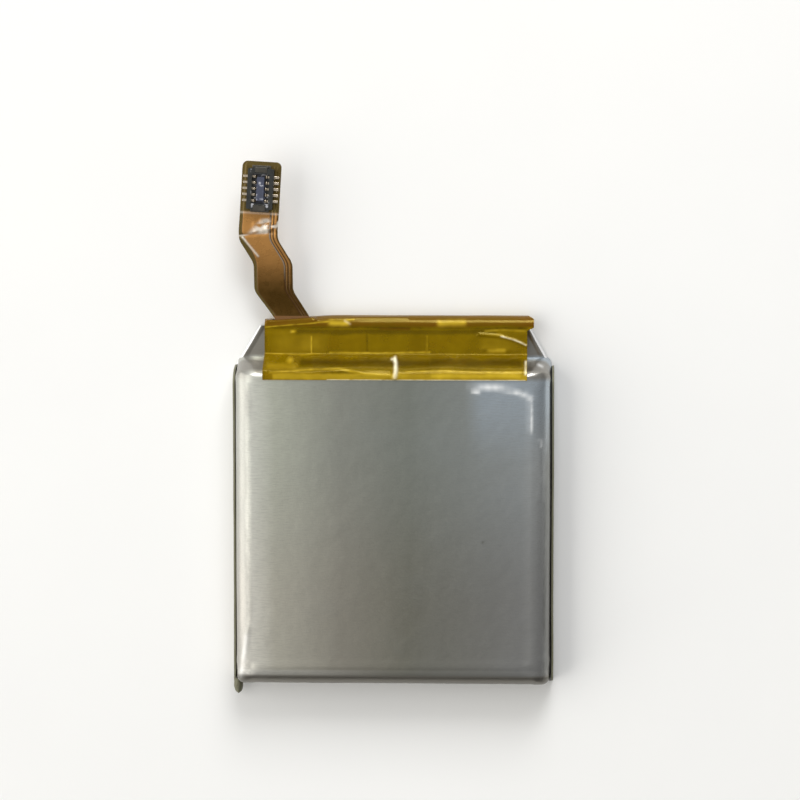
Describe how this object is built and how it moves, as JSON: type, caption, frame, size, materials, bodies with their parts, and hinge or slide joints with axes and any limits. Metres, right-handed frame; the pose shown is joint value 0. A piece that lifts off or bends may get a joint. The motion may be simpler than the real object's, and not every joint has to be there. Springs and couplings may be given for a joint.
{
  "type": "pouch battery cell",
  "caption": "Small flat rechargeable pouch cell with a taped protection board on its ledge and a jogged flexible tail ending in a board connector.",
  "frame": {"origin": "the middle of the pouch's flat back face, at the middle of the drawn cup's width and length", "axes": "+Y from the cup to the terminal ledge and the tail, +Z out of the drawn face, +X across the cell, so that the tail leaves at -X"},
  "size_m": [0.024, 0.0395, 0.0039],
  "materials": {
    "laminate": "satin",
    "separator": "matte",
    "anode_coating": "matte",
    "cathode_coating": "matte",
    "end_tape": "gloss",
    "aluminium_tab": "satin",
    "nickel": "satin",
    "sealant": "satin",
    "insulating_paper": "matte",
    "board": "satin",
    "moulded_package": "matte",
    "chip_ceramic": "satin",
    "flex_film": "gloss",
    "copper": "satin",
    "stiffener_film": "satin",
    "connector_plastic": "satin",
    "contact_gold": "polished",
    "amber_tape": "gloss"
  },
  "bodies": {
    "cell": {"pouch_cup": "laminate", "pouch_back": "laminate", "separator_inner": "separator", "separator_outer": "separator", "anode_sheet": "anode_coating", "cathode_sheet": "cathode_coating", "winding_end_tape": "end_tape", "tab_weld_tapes": "end_tape", "positive_tab": "aluminium_tab", "negative_tab": "nickel", "positive_tab_sealant": "sealant", "negative_tab_sealant": "sealant", "board_insulator": "insulating_paper", "protection_board": "board", "protection_ic": "moulded_package", "switch_transistor": "moulded_package", "thermistor": "chip_ceramic", "chip_resistors": "chip_ceramic", "chip_capacitors": "chip_ceramic", "weld_pads": "nickel", "flex_base_root": "flex_film", "flex_cover_root": "flex_film", "flex_bend_lower": "flex_film", "flex_traces_root": "copper", "polyimide_tape": "amber_tape"},
    "tail": {"flex_base_tail": "flex_film", "flex_traces_tail": "copper", "flex_cover_tail": "flex_film", "flex_bend_upper": "flex_film"},
    "head": {"flex_base_head": "flex_film", "flex_traces_head": "copper", "flex_cover_head": "flex_film", "stiffener": "stiffener_film", "connector_housing": "connector_plastic", "contacts_left": "contact_gold", "contacts_right": "contact_gold", "hold_downs": "contact_gold"}
  },
  "joints": [
    {"name": "tail_bend", "type": "hinge", "parent": "cell", "child": "tail", "pos_m": [-0.0085, 0.0157, 0.00138], "axis": [1, 0, 0], "range_deg": [-45, 120], "stiffness_Nm_per_rad": 0.00006, "deforming": ["flex_bend_lower"]},
    {"name": "head_bend", "type": "hinge", "parent": "tail", "child": "head", "pos_m": [-0.0101, 0.0215, 0.00279], "axis": [1, 0, 0], "range_deg": [-60, 60], "stiffness_Nm_per_rad": 0.00006, "deforming": ["flex_bend_upper"]}
  ]
}
